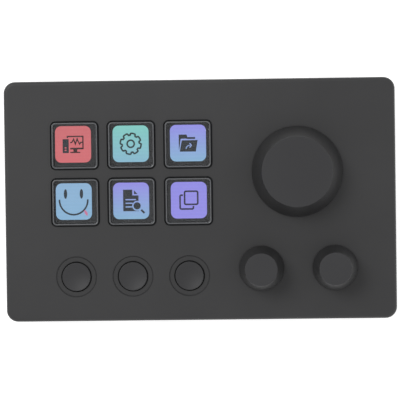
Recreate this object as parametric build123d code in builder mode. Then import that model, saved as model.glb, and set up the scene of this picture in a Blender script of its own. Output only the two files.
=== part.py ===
from build123d import *
import os

# Macro keypad: six display keys, three dished buttons and three knobs that turn and push,
# in a moulded two-piece case with its circuit board, display and rotary encoders.
# Millimetres. +X is the user's right, +Y points away from the user, +Z is up.
# The origin is on the desk, under the middle of the case.

# ---- Layout of the face; the case is as long and deep as this needs ----
KEYS_INSET_X = 15.4          # key openings to the left end of the case
KEYS_INSET_Y = 13.3          # key openings to the back of the case
KEYS_TO_KNOB = 12.85         # key openings to the large knob
KNOB_GAP = 9.3               # between neighbouring knobs, along and across
KNOBS_INSET_X = 12.85        # right small knob to the right end of the case
BUTTON_ROW_GAP = 6.5         # block under the keys to the flanges of the dished buttons
BUTTONS_INSET_Y = 14.85      # centres of the dished buttons to the front of the case

# ---- Case ----
CASE_CORNER = 3.8            # radius of the upright corners
WALL = 2.0
FACE_THICKNESS = 2.0
FLOOR_THICKNESS = 2.0
FACE_EDGE_ROUND = 1.2
BASE_CHAMFER = 0.8
BOTTOM_COVER_HEIGHT = 4.4    # underside to parting line
TONGUE_THICKNESS = 0.9
TONGUE_HEIGHT = 1.5
SEAM_CLEARANCE = 0.1
SEAM_CHAMFER = 0.3           # shadow line under the edge of the top cover
FACE_RIB_DEPTH = 1.2         # ribs under the face, right of the display keys

# ---- Rubber foot strips, glued flat to the base ----
FOOT_WIDTH = 8.0
FOOT_HEIGHT = 1.2
FOOT_CORNER = 2.0
FOOT_INSET_X = 19.0          # end of a strip to the end of the case
FOOT_INSET_Y = 10.0          # middle of a strip to the front or back of the case

# ---- Screws ----
COVER_SHANK = 1.25           # radius, M2.5
COVER_HEAD = 2.3
COVER_HEAD_HEIGHT = 1.6
COVER_SCREW_LENGTH = 8.0
COVER_SCREW_INSET = 6.2      # corner screw to the outside of the case, both ways
BOSS_RADIUS = 2.8
TUBE_RADIUS = 3.4
COUNTERBORE_RADIUS = 2.6
COUNTERBORE_DEPTH = 2.4
BITE = 0.02                  # radial room left round a shank in its pilot hole
SCREW_HOLE_ROOM = 0.2        # radial room in a clearance hole, and below a shank's end
RIB_THICKNESS = 1.2

# ---- Circuit board ----
BOARD_LIFT = 1.6
BOARD_THICKNESS = 1.6
BOARD_GAP = 1.0              # board edge to the inside of the walls
CHIP_SIZE = 10.0
CHIP_HEIGHT = 1.4
CHIP_GAP = 5.0               # chip to the large knob's encoder
CHIP_CHAMFER = 0.2

# ---- Display keys ----
KEY_COLUMNS = 3
KEY_ROWS = 2
CAP_SIZE = 15.5
CAP_CORNER = 1.5
CAP_BEVEL = 0.4
CAP_PROUD = 0.8
KEY_GAP = 0.4                # cap to the edge of its opening
KEY_WEB = 2.55               # bar of the face between two openings
FLANGE_GRIP = 0.7            # how far the flange reaches under the face
FLANGE_THICKNESS = 0.8
KEY_FOOT_STEP = 0.35         # the block under the flange is this much smaller all round
KEY_FOOT_DEPTH = 1.0
KEY_TRAVEL = 0.8
REST_GAP = 0.05
GUIDE_CLEARANCE = 0.15
BLOCK_EDGE = 3.15            # rim of guide, mat and tray outside the cells
COLLAR_SQUASHED = 1.1        # height left of the rubber collar under a pressed key
COLLAR_WALL = 0.8
COLLAR_CLEARANCE = 0.4       # key block to collar, and collar to cell
WINDOW_STEP = 0.2            # mat window is this much smaller than the collar's inside
MAT_THICKNESS = 0.5
SHEET_THICKNESS = 0.2

# ---- Display and its tray ----
DISPLAY_MARGIN = 1.6         # display beyond the outermost caps
DISPLAY_CLEARANCE = 0.1
GLASS_THICKNESS = 1.1
BACKLIGHT_THICKNESS = 1.2
TRAY_FLOOR = 1.3
PEG_SIZE = 1.8               # square pegs that line up sheet, mat and guide
PEG_CLEARANCE = 0.1
PEG_END_GAP = 0.55
RIBBON_WIDTH = 14.0
RIBBON_THICKNESS = 0.2
RIBBON_CLEARANCE = 0.1
RIBBON_HEIGHT = 0.3          # above the floor of the tray
CONNECTOR_LENGTH = 3.0
CONNECTOR_WALL = 1.0
CONNECTOR_HEIGHT = 1.5
CONNECTOR_GAP = 1.6          # tray to connector
RIBBON_INSERT = 1.2

# ---- Dished buttons ----
BUTTON_RADIUS = 4.75
BUTTON_GAP = 0.35
BUTTON_PROUD = 0.5
BUTTON_DISH_DEPTH = 0.7
BUTTON_TRAVEL = 0.5
RECESS_RADIUS = 6.85
RECESS_DEPTH = 0.4
RECESS_SLOPE = 45.0          # degrees that the side of the recess leans outwards
BUTTON_FLANGE = 12.4         # square flange under the face
BUTTON_FLANGE_THICKNESS = 1.0
SWITCH_SIZE = 6.0
SWITCH_HEIGHT = 3.5
SWITCH_PIN_SIZE = 3.0
SWITCH_PIN_DEPTH = 1.9
SWITCH_PIN_CLEARANCE = 0.1

# ---- Encoders ----
ENCODER_LENGTH = 11.7
ENCODER_DEPTH = 12.0
ENCODER_HEIGHT = 5.7
ENCODER_FLOOR = 0.9
CHAMBER_SIZE = 9.0
PLATE_THICKNESS = 0.8
NECK_RADIUS = 3.5
NECK_PROUD = 1.7
NECK_HOLE_GAP = 0.3
SHAFT_RADIUS = 3.0
SHAFT_CLEARANCE = 0.04
DETENTS = 20                 # clicks in one turn, one for each side of the detent wheel
DETENT_WHEEL_RADIUS = 4.0
DETENT_WHEEL_HEIGHT = 0.8
DETENT_WHEEL_GAP = 0.1       # wheel to the plate above it
SHAFT_FLAT = 1.5             # axis to the flat of the D
FLAT_RUN_OUT = 0.6           # the flat goes on this far below the hub
PRESSER_SIZE = 5.0
PRESSER_HEIGHT = 2.8
PUSH_TRAVEL = 0.5

# ---- Knobs ----
KNOB_HEIGHT = 10.2
KNOB_PRESSED_GAP = 0.3       # skirt above the face when the knob is pushed right down
KNOB_TOP_THICKNESS = 1.9
KNOB_EDGE = 0.4              # bevel round the top
KNOB_BORE_CLEARANCE = 0.03
KNOB_NECK_GAP = 1.4          # hub above the encoder's neck at rest
KNOB_HUB = 5.0
KNOB_RIB_THICKNESS = 1.0
LARGE_KNOB_RADIUS = 15.15
LARGE_KNOB_TOP = 11.9
LARGE_KNOB_HOLLOW = 11.0     # radius of the hollow under the knob
SMALL_KNOB_RADIUS = 7.55
SMALL_KNOB_TOP = 5.4
SMALL_KNOB_HOLLOW = 5.5

# ---- USB-C receptacle ----
USB_WIDTH = 8.94
USB_HEIGHT = 3.26
USB_LENGTH = 7.35
USB_SKIN = 0.35
USB_SETBACK = 0.3            # mouth behind the outside of the rear wall
USB_HOLE_GAP = 0.25
USB_TONGUE_WIDTH = 6.7
USB_TONGUE_THICKNESS = 0.7
USB_TONGUE_SETBACK = 0.8
USB_BACK_BLOCK = 1.5
USB_FIT = 0.02

# ---- Heights, worked out from the desk upwards ----
BASE_Z = FOOT_HEIGHT
FLOOR_Z = BASE_Z + FLOOR_THICKNESS
SPLIT_Z = BASE_Z + BOTTOM_COVER_HEIGHT
BOARD_Z = FLOOR_Z + BOARD_LIFT
BOARD_TOP = BOARD_Z + BOARD_THICKNESS
TRAY_FLOOR_TOP = BOARD_TOP + TRAY_FLOOR
GLASS_Z = TRAY_FLOOR_TOP + BACKLIGHT_THICKNESS
GLASS_TOP = GLASS_Z + GLASS_THICKNESS
SHEET_TOP = GLASS_TOP + SHEET_THICKNESS
MAT_TOP = SHEET_TOP + MAT_THICKNESS
COLLAR_TOP = MAT_TOP + KEY_TRAVEL + COLLAR_SQUASHED
FLANGE_Z = COLLAR_TOP + REST_GAP
FLANGE_TOP = FLANGE_Z + FLANGE_THICKNESS
CEILING_Z = FLANGE_TOP + REST_GAP
FACE_Z = CEILING_Z + FACE_THICKNESS
BUTTON_FLANGE_Z = CEILING_Z - REST_GAP - BUTTON_FLANGE_THICKNESS
SWITCH_TOP = BOARD_TOP + SWITCH_HEIGHT
PLATE_Z = BOARD_TOP + ENCODER_HEIGHT
NECK_TOP = FACE_Z + NECK_PROUD
DETENT_WHEEL_TOP = PLATE_Z - DETENT_WHEEL_GAP
DETENT_WHEEL_Z = DETENT_WHEEL_TOP - DETENT_WHEEL_HEIGHT
PRESSER_Z = DETENT_WHEEL_Z - PRESSER_HEIGHT
KNOB_Z = FACE_Z + KNOB_PRESSED_GAP + PUSH_TRAVEL
KNOB_TOP_Z = KNOB_Z + KNOB_HEIGHT
KNOB_CEILING_Z = KNOB_TOP_Z - KNOB_TOP_THICKNESS
HUB_Z = NECK_TOP + KNOB_NECK_GAP
SCREW_SEAT_Z = BASE_Z + COUNTERBORE_DEPTH
SCREW_TIP_Z = SCREW_SEAT_Z + COVER_SCREW_LENGTH
RIB_Z = SPLIT_Z + TONGUE_HEIGHT + SEAM_CLEARANCE
KEY_FOOT_Z = FLANGE_Z - KEY_FOOT_DEPTH
CAP_TOP_Z = FACE_Z + CAP_PROUD
BUTTON_TOP_Z = FACE_Z + BUTTON_PROUD
PEG_TOP = FLANGE_TOP - PEG_END_GAP
USB_Z = BOARD_TOP + USB_HEIGHT / 2

# ---- Sizes in plan ----
OPENING_SIZE = CAP_SIZE + 2 * KEY_GAP
OPENING_CORNER = CAP_CORNER + KEY_GAP
KEY_PITCH = OPENING_SIZE + KEY_WEB
FLANGE_SIZE = OPENING_SIZE + 2 * FLANGE_GRIP
CELL_SIZE = FLANGE_SIZE + 2 * GUIDE_CLEARANCE
KEY_FOOT_SIZE = CAP_SIZE - 2 * KEY_FOOT_STEP
COLLAR_INSIDE = KEY_FOOT_SIZE + 2 * COLLAR_CLEARANCE
COLLAR_OUTSIDE = COLLAR_INSIDE + 2 * COLLAR_WALL
WINDOW_SIZE = COLLAR_INSIDE - 2 * WINDOW_STEP
PEG_HOLE = PEG_SIZE + 2 * PEG_CLEARANCE
COLUMN_SPAN = (KEY_COLUMNS - 1) * KEY_PITCH
ROW_SPAN = (KEY_ROWS - 1) * KEY_PITCH
BLOCK_LENGTH = COLUMN_SPAN + CELL_SIZE + 2 * BLOCK_EDGE
BLOCK_DEPTH = ROW_SPAN + CELL_SIZE + 2 * BLOCK_EDGE
DISPLAY_LENGTH = COLUMN_SPAN + CAP_SIZE + 2 * DISPLAY_MARGIN
DISPLAY_DEPTH = ROW_SPAN + CAP_SIZE + 2 * DISPLAY_MARGIN
KEY_FIELD_LENGTH = COLUMN_SPAN + OPENING_SIZE
KEY_FIELD_DEPTH = ROW_SPAN + OPENING_SIZE
KEYS_TO_BUTTONS = (BLOCK_DEPTH - KEY_FIELD_DEPTH) / 2 + BUTTON_ROW_GAP + BUTTON_FLANGE / 2
SMALL_KNOB_SPACING = 2 * SMALL_KNOB_RADIUS + KNOB_GAP
KNOB_AXIS_TO_END = SMALL_KNOB_SPACING / 2 + SMALL_KNOB_RADIUS + KNOBS_INSET_X
CASE_LENGTH = (
    KEYS_INSET_X + KEY_FIELD_LENGTH + KEYS_TO_KNOB + LARGE_KNOB_RADIUS + KNOB_AXIS_TO_END
)
CASE_DEPTH = KEYS_INSET_Y + KEY_FIELD_DEPTH + KEYS_TO_BUTTONS + BUTTONS_INSET_Y
INNER_LENGTH = CASE_LENGTH - 2 * WALL
INNER_DEPTH = CASE_DEPTH - 2 * WALL
INNER_CORNER = CASE_CORNER - WALL
REBATE = TONGUE_THICKNESS + SEAM_CLEARANCE
BOARD_LENGTH = INNER_LENGTH - 2 * BOARD_GAP
BOARD_DEPTH = INNER_DEPTH - 2 * BOARD_GAP
BOSS_TO_WALL = COVER_SCREW_INSET - WALL
FOOT_LENGTH = CASE_LENGTH - 2 * FOOT_INSET_X
SWITCH_WELL = SWITCH_PIN_SIZE + 2 * SWITCH_PIN_CLEARANCE
DISH_SPHERE = (BUTTON_RADIUS ** 2 + BUTTON_DISH_DEPTH ** 2) / (2 * BUTTON_DISH_DEPTH)

# ---- Places in plan ----
KEYS_X = -CASE_LENGTH / 2 + KEYS_INSET_X + KEY_FIELD_LENGTH / 2
KEYS_Y = CASE_DEPTH / 2 - KEYS_INSET_Y - KEY_FIELD_DEPTH / 2
BLOCK_RIGHT = KEYS_X + BLOCK_LENGTH / 2
BUTTONS_Y = -CASE_DEPTH / 2 + BUTTONS_INSET_Y
KNOBS_X = CASE_LENGTH / 2 - KNOB_AXIS_TO_END
SMALL_KNOBS_Y = KEYS_Y - LARGE_KNOB_RADIUS - KNOB_GAP - SMALL_KNOB_RADIUS
LEFT_KNOB_X = KNOBS_X - SMALL_KNOB_SPACING / 2
RIGHT_KNOB_X = KNOBS_X + SMALL_KNOB_SPACING / 2
MOUTH_Y = CASE_DEPTH / 2 - USB_SETBACK
CONNECTOR_X = BLOCK_RIGHT + CONNECTOR_GAP
RIBBON_START_X = KEYS_X + DISPLAY_LENGTH / 2 + DISPLAY_CLEARANCE
CHIP_X = KNOBS_X + ENCODER_LENGTH / 2 + CHIP_GAP + CHIP_SIZE / 2
FACE_RIB_X = (BLOCK_RIGHT + LEFT_KNOB_X - ENCODER_LENGTH / 2) / 2
FACE_RIB_Y = (KEYS_Y + SMALL_KNOBS_Y) / 2
RIBBON_Z = TRAY_FLOOR_TOP + RIBBON_HEIGHT
PLUG_IN_Z = BOARD_TOP + CONNECTOR_HEIGHT / 2 - RIBBON_THICKNESS / 2

COLUMN_XS = [KEYS_X - COLUMN_SPAN / 2 + column * KEY_PITCH for column in range(KEY_COLUMNS)]
ROW_YS = [KEYS_Y + ROW_SPAN / 2 - row * KEY_PITCH for row in range(KEY_ROWS)]
BUTTON_PLACES = [(x, BUTTONS_Y) for x in COLUMN_XS]
KNOB_PLACES = {
    "large": (KNOBS_X, KEYS_Y),
    "left_small": (LEFT_KNOB_X, SMALL_KNOBS_Y),
    "right_small": (RIGHT_KNOB_X, SMALL_KNOBS_Y),
}
BOSS_X = CASE_LENGTH / 2 - COVER_SCREW_INSET
BOSS_Y = CASE_DEPTH / 2 - COVER_SCREW_INSET
BOSS_PLACES = [(x, y) for x in (-BOSS_X, BOSS_X) for y in (-BOSS_Y, BOSS_Y)]
FLOOR_RIB_PLACES = [(x, KEYS_Y) for x in (KEYS_X - KEY_PITCH / 2, KEYS_X + KEY_PITCH / 2, KNOBS_X)]
FOOT_Y = CASE_DEPTH / 2 - FOOT_INSET_Y
PEG_X = BLOCK_LENGTH / 2 - BLOCK_EDGE / 2
PEG_Y = BLOCK_DEPTH / 2 - BLOCK_EDGE / 2
PEG_PLACES = [(x, y) for x in (-PEG_X, PEG_X) for y in (-PEG_Y, PEG_Y)]

os.makedirs("parts", exist_ok=True)


def save(piece, name):
    """Label a finished piece and write it as its own STEP file."""
    piece.part.label = name
    export_step(piece.part, f"parts/{name}.step")


def upright(x, y):
    """Plane through the vertical axis at x, y: sketch X is world X, sketch Y is world Z."""
    return Plane(origin=(x, y, 0), x_dir=(1, 0, 0), z_dir=(0, -1, 0))


def from_below(places, z):
    """Downward-facing planes for holes that are drilled upwards from height z."""
    return [Plane(origin=(x, y, z), x_dir=(1, 0, 0), z_dir=(0, 0, -1)) for x, y in places]


def over_keys(z):
    """Level plane centred on the display keys."""
    return Plane(origin=(KEYS_X, KEYS_Y, z))


def key_grid():
    """One place for each display key, counted from the middle of the keys."""
    return GridLocations(KEY_PITCH, KEY_PITCH, KEY_COLUMNS, KEY_ROWS)


def cut_usb_hole():
    """Cut the receptacle's hole through the rear wall of the cover being built."""
    rear_wall = Plane(origin=(0, CASE_DEPTH / 2, USB_Z), x_dir=(-1, 0, 0), z_dir=(0, 1, 0))
    with BuildSketch(rear_wall) as port:
        SlotOverall(USB_WIDTH + 2 * USB_HOLE_GAP, USB_HEIGHT + 2 * USB_HOLE_GAP)
    extrude(port.sketch, amount=-WALL, mode=Mode.SUBTRACT)


# ---- Bottom cover: floor, low wall with a tongue, and the tubes and ribs under the board ----
with BuildPart() as bottom_cover:
    with BuildSketch(Plane.XY.offset(BASE_Z)):
        RectangleRounded(CASE_LENGTH, CASE_DEPTH, CASE_CORNER)
    extrude(amount=BOTTOM_COVER_HEIGHT)
    chamfer(bottom_cover.faces().sort_by(Axis.Z)[0].edges(), BASE_CHAMFER)
    chamfer(bottom_cover.faces().sort_by(Axis.Z)[-1].edges(), SEAM_CHAMFER)
    with BuildSketch(Plane.XY.offset(FLOOR_Z)):
        RectangleRounded(INNER_LENGTH, INNER_DEPTH, INNER_CORNER)
    extrude(amount=SPLIT_Z - FLOOR_Z, mode=Mode.SUBTRACT)
    with BuildSketch(Plane.XY.offset(FLOOR_Z)):
        RectangleRounded(
            INNER_LENGTH + 2 * TONGUE_THICKNESS,
            INNER_DEPTH + 2 * TONGUE_THICKNESS,
            INNER_CORNER + TONGUE_THICKNESS,
        )
        RectangleRounded(INNER_LENGTH, INNER_DEPTH, INNER_CORNER, mode=Mode.SUBTRACT)
    extrude(amount=SPLIT_Z + TONGUE_HEIGHT - FLOOR_Z)
    with BuildSketch(Plane.XY.offset(FLOOR_Z)):
        with Locations(*BOSS_PLACES):
            Circle(TUBE_RADIUS)
        with Locations(*FLOOR_RIB_PLACES):
            Rectangle(RIB_THICKNESS, BLOCK_DEPTH)
    extrude(amount=BOARD_LIFT)
    with Locations(*from_below(BOSS_PLACES, BASE_Z)):
        CounterBoreHole(
            COVER_SHANK + SCREW_HOLE_ROOM, COUNTERBORE_RADIUS, COUNTERBORE_DEPTH,
            depth=BOARD_Z - BASE_Z,
        )
    cut_usb_hole()
save(bottom_cover, "bottom_cover")

# ---- Top cover: the face with all its openings, walls, bosses that clamp the board, ribs ----
with BuildPart() as top_cover:
    with BuildSketch(Plane.XY.offset(SPLIT_Z)):
        RectangleRounded(CASE_LENGTH, CASE_DEPTH, CASE_CORNER)
    extrude(amount=FACE_Z - SPLIT_Z)
    fillet(top_cover.faces().sort_by(Axis.Z)[-1].edges(), FACE_EDGE_ROUND)
    with BuildSketch(Plane.XY.offset(SPLIT_Z)):
        RectangleRounded(INNER_LENGTH, INNER_DEPTH, INNER_CORNER)
    extrude(amount=CEILING_Z - SPLIT_Z, mode=Mode.SUBTRACT)
    with BuildSketch(Plane.XY.offset(SPLIT_Z)):
        RectangleRounded(
            INNER_LENGTH + 2 * REBATE, INNER_DEPTH + 2 * REBATE, INNER_CORNER + REBATE
        )
    extrude(amount=RIB_Z - SPLIT_Z, mode=Mode.SUBTRACT)
    with BuildSketch(Plane.XY.offset(BOARD_TOP)):
        with Locations(*BOSS_PLACES):
            Circle(BOSS_RADIUS)
    extrude(amount=CEILING_Z - BOARD_TOP)
    with BuildSketch(Plane.XY.offset(RIB_Z)):
        for x, y in BOSS_PLACES:
            with Locations((x, y + BOSS_TO_WALL / 2 * (1 if y > 0 else -1))):
                Rectangle(RIB_THICKNESS, BOSS_TO_WALL)
            with Locations((x + BOSS_TO_WALL / 2 * (1 if x > 0 else -1), y)):
                Rectangle(BOSS_TO_WALL, RIB_THICKNESS)
    extrude(amount=CEILING_Z - RIB_Z)
    with BuildSketch(Plane.XY.offset(CEILING_Z)):
        with Locations((FACE_RIB_X, 0)):
            Rectangle(RIB_THICKNESS, INNER_DEPTH)
        with Locations(((FACE_RIB_X + INNER_LENGTH / 2) / 2, FACE_RIB_Y)):
            Rectangle(INNER_LENGTH / 2 - FACE_RIB_X, RIB_THICKNESS)
    extrude(amount=-FACE_RIB_DEPTH)
    # Cuts: screw pilots, key openings, button recesses and bores, shaft holes, USB port.
    with Locations(*from_below(BOSS_PLACES, BOARD_TOP)):
        Hole(COVER_SHANK + BITE, depth=SCREW_TIP_Z + SCREW_HOLE_ROOM - BOARD_TOP)
    with BuildSketch(over_keys(FACE_Z)):
        with key_grid():
            RectangleRounded(OPENING_SIZE, OPENING_SIZE, OPENING_CORNER)
    extrude(amount=-FACE_THICKNESS, mode=Mode.SUBTRACT)
    with BuildSketch(Plane.XY.offset(FACE_Z)):
        with Locations(*BUTTON_PLACES):
            Circle(RECESS_RADIUS)
    extrude(amount=-RECESS_DEPTH, taper=RECESS_SLOPE, mode=Mode.SUBTRACT)
    with Locations(*[(x, y, FACE_Z) for x, y in BUTTON_PLACES]):
        Hole(BUTTON_RADIUS + BUTTON_GAP, depth=FACE_THICKNESS)
    with Locations(*[(x, y, FACE_Z) for x, y in KNOB_PLACES.values()]):
        Hole(NECK_RADIUS + NECK_HOLE_GAP, depth=FACE_THICKNESS)
    cut_usb_hole()
save(top_cover, "top_cover")

# ---- Feet ----
for side, y in (("front", -FOOT_Y), ("rear", FOOT_Y)):
    with BuildPart() as foot_strip:
        with BuildSketch(Plane(origin=(0, y, 0))):
            RectangleRounded(FOOT_LENGTH, FOOT_WIDTH, FOOT_CORNER)
        extrude(amount=FOOT_HEIGHT)
    save(foot_strip, f"foot_strip_{side}")

# ---- Screws: four alike, from below through bottom cover and board into the bosses ----
with BuildPart() as cover_screws:
    with BuildSketch(Plane.XY.offset(SCREW_SEAT_Z)):
        with Locations(*BOSS_PLACES):
            Circle(COVER_HEAD)
    extrude(amount=-COVER_HEAD_HEIGHT)
    with BuildSketch(Plane.XY.offset(SCREW_SEAT_Z)):
        with Locations(*BOSS_PLACES):
            Circle(COVER_SHANK)
    extrude(amount=COVER_SCREW_LENGTH)
save(cover_screws, "cover_screws")

# ---- Circuit board, clamped at its corners between the tubes and the bosses ----
with BuildPart() as main_board:
    with BuildSketch(Plane.XY.offset(BOARD_Z)):
        Rectangle(BOARD_LENGTH, BOARD_DEPTH)
        with Locations(*BOSS_PLACES):
            Circle(COVER_SHANK + SCREW_HOLE_ROOM, mode=Mode.SUBTRACT)
    extrude(amount=BOARD_THICKNESS)
save(main_board, "main_board")

with BuildPart() as controller_chip:
    with BuildSketch(Plane(origin=(CHIP_X, KEYS_Y, BOARD_TOP))):
        Rectangle(CHIP_SIZE, CHIP_SIZE)
    extrude(amount=CHIP_HEIGHT)
    chamfer(controller_chip.faces().sort_by(Axis.Z)[-1].edges(), CHIP_CHAMFER)
save(controller_chip, "controller_chip")

# ---- USB-C receptacle: drawn shell and the moulding with its contact tongue ----
usb_mouth = Plane(origin=(0, MOUTH_Y, USB_Z), x_dir=(-1, 0, 0), z_dir=(0, 1, 0))
with BuildPart() as usb_c_shell:
    with BuildSketch(usb_mouth):
        SlotOverall(USB_WIDTH, USB_HEIGHT)
        SlotOverall(USB_WIDTH - 2 * USB_SKIN, USB_HEIGHT - 2 * USB_SKIN, mode=Mode.SUBTRACT)
    extrude(amount=-USB_LENGTH)
save(usb_c_shell, "usb_c_shell")

with BuildPart() as usb_c_tongue:
    with BuildSketch(usb_mouth.offset(-USB_LENGTH)):
        SlotOverall(
            USB_WIDTH - 2 * (USB_SKIN + USB_FIT), USB_HEIGHT - 2 * (USB_SKIN + USB_FIT)
        )
    extrude(amount=USB_BACK_BLOCK)
    with BuildSketch(usb_mouth.offset(-USB_LENGTH)):
        Rectangle(USB_TONGUE_WIDTH, USB_TONGUE_THICKNESS)
    extrude(amount=USB_LENGTH - USB_TONGUE_SETBACK)
save(usb_c_tongue, "usb_c_tongue")

# ---- Display: tray with pegs, backlight, glass, ribbon and its connector ----
with BuildPart() as display_tray:
    with BuildSketch(over_keys(BOARD_TOP)):
        Rectangle(BLOCK_LENGTH, BLOCK_DEPTH)
    extrude(amount=GLASS_TOP - BOARD_TOP)
    with BuildSketch(over_keys(GLASS_TOP)):
        Rectangle(DISPLAY_LENGTH + 2 * DISPLAY_CLEARANCE, DISPLAY_DEPTH + 2 * DISPLAY_CLEARANCE)
    extrude(amount=-(GLASS_TOP - TRAY_FLOOR_TOP), mode=Mode.SUBTRACT)
    with BuildSketch(over_keys(GLASS_TOP)):
        with Locations(*PEG_PLACES):
            Rectangle(PEG_SIZE, PEG_SIZE)
    extrude(amount=PEG_TOP - GLASS_TOP)
    with BuildSketch(Plane(origin=(BLOCK_RIGHT - BLOCK_EDGE / 2, KEYS_Y, GLASS_TOP))):
        Rectangle(2 * BLOCK_EDGE, RIBBON_WIDTH + 2 * RIBBON_CLEARANCE)
    extrude(amount=-(GLASS_TOP - TRAY_FLOOR_TOP), mode=Mode.SUBTRACT)
save(display_tray, "display_tray")

with BuildPart() as display_backlight:
    with BuildSketch(over_keys(TRAY_FLOOR_TOP)):
        Rectangle(DISPLAY_LENGTH, DISPLAY_DEPTH)
    extrude(amount=BACKLIGHT_THICKNESS)
save(display_backlight, "display_backlight")

with BuildPart() as display_glass:
    with BuildSketch(over_keys(GLASS_Z)):
        Rectangle(DISPLAY_LENGTH, DISPLAY_DEPTH)
    extrude(amount=GLASS_THICKNESS)
save(display_glass, "display_glass")

with BuildPart() as display_ribbon:
    with BuildSketch(Plane.XZ.offset(-KEYS_Y)):
        with BuildLine() as ribbon_route:
            Polyline(
                (RIBBON_START_X, RIBBON_Z),
                (BLOCK_RIGHT, RIBBON_Z),
                (CONNECTOR_X - RIBBON_CLEARANCE, PLUG_IN_Z),
                (CONNECTOR_X + RIBBON_INSERT, PLUG_IN_Z),
            )
            offset(amount=RIBBON_THICKNESS, side=Side.LEFT)
        make_face()
    extrude(amount=RIBBON_WIDTH / 2, both=True)
save(display_ribbon, "display_ribbon")

with BuildPart() as ribbon_connector:
    with BuildSketch(Plane(origin=(CONNECTOR_X + CONNECTOR_LENGTH / 2, KEYS_Y, BOARD_TOP))):
        Rectangle(CONNECTOR_LENGTH, RIBBON_WIDTH + 2 * CONNECTOR_WALL)
    extrude(amount=CONNECTOR_HEIGHT)
    with BuildSketch(Plane(origin=(CONNECTOR_X, KEYS_Y, PLUG_IN_Z - RIBBON_CLEARANCE))):
        Rectangle(
            2 * (RIBBON_INSERT + RIBBON_CLEARANCE), RIBBON_WIDTH + 2 * RIBBON_CLEARANCE
        )
    extrude(amount=RIBBON_THICKNESS + 2 * RIBBON_CLEARANCE, mode=Mode.SUBTRACT)
save(ribbon_connector, "ribbon_connector")

# ---- Key block: contact sheet, rubber mat with a collar per key, and guide frame ----
with BuildPart() as contact_sheet:
    with BuildSketch(over_keys(GLASS_TOP)):
        Rectangle(BLOCK_LENGTH, BLOCK_DEPTH)
        with key_grid():
            Rectangle(WINDOW_SIZE, WINDOW_SIZE, mode=Mode.SUBTRACT)
        with Locations(*PEG_PLACES):
            Rectangle(PEG_HOLE, PEG_HOLE, mode=Mode.SUBTRACT)
    extrude(amount=SHEET_THICKNESS)
save(contact_sheet, "contact_sheet")

with BuildPart() as key_mat:
    with BuildSketch(over_keys(SHEET_TOP)):
        Rectangle(BLOCK_LENGTH, BLOCK_DEPTH)
        with Locations(*PEG_PLACES):
            Rectangle(PEG_HOLE, PEG_HOLE, mode=Mode.SUBTRACT)
    extrude(amount=MAT_THICKNESS)
    with BuildSketch(over_keys(SHEET_TOP)):
        with key_grid():
            Rectangle(COLLAR_OUTSIDE, COLLAR_OUTSIDE)
    extrude(amount=COLLAR_TOP - SHEET_TOP)
    with BuildSketch(over_keys(MAT_TOP)):
        with key_grid():
            Rectangle(COLLAR_INSIDE, COLLAR_INSIDE)
    extrude(amount=COLLAR_TOP - MAT_TOP, mode=Mode.SUBTRACT)
    with BuildSketch(over_keys(SHEET_TOP)):
        with key_grid():
            Rectangle(WINDOW_SIZE, WINDOW_SIZE)
    extrude(amount=MAT_THICKNESS, mode=Mode.SUBTRACT)
save(key_mat, "key_mat")

with BuildPart() as key_guide:
    with BuildSketch(over_keys(MAT_TOP)):
        Rectangle(BLOCK_LENGTH, BLOCK_DEPTH)
        with key_grid():
            Rectangle(CELL_SIZE, CELL_SIZE, mode=Mode.SUBTRACT)
        with Locations(*PEG_PLACES):
            Rectangle(PEG_HOLE, PEG_HOLE, mode=Mode.SUBTRACT)
    extrude(amount=FLANGE_TOP - MAT_TOP)
save(key_guide, "key_guide")

# ---- Display key caps: a clear block with a flange that the face holds down ----
for number, (x, y) in enumerate([(x, y) for y in ROW_YS for x in COLUMN_XS], start=1):
    with BuildPart() as key_cap:
        with BuildSketch(Plane(origin=(x, y, KEY_FOOT_Z))):
            Rectangle(KEY_FOOT_SIZE, KEY_FOOT_SIZE)
        extrude(amount=KEY_FOOT_DEPTH)
        with BuildSketch(Plane(origin=(x, y, FLANGE_Z))):
            Rectangle(FLANGE_SIZE, FLANGE_SIZE)
        extrude(amount=FLANGE_THICKNESS)
        with BuildSketch(Plane(origin=(x, y, FLANGE_TOP))):
            RectangleRounded(CAP_SIZE, CAP_SIZE, CAP_CORNER)
        extrude(amount=CAP_TOP_Z - FLANGE_TOP)
        chamfer(key_cap.faces().sort_by(Axis.Z)[-1].edges(), CAP_BEVEL)
    save(key_cap, f"key_cap_{number}")

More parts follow.
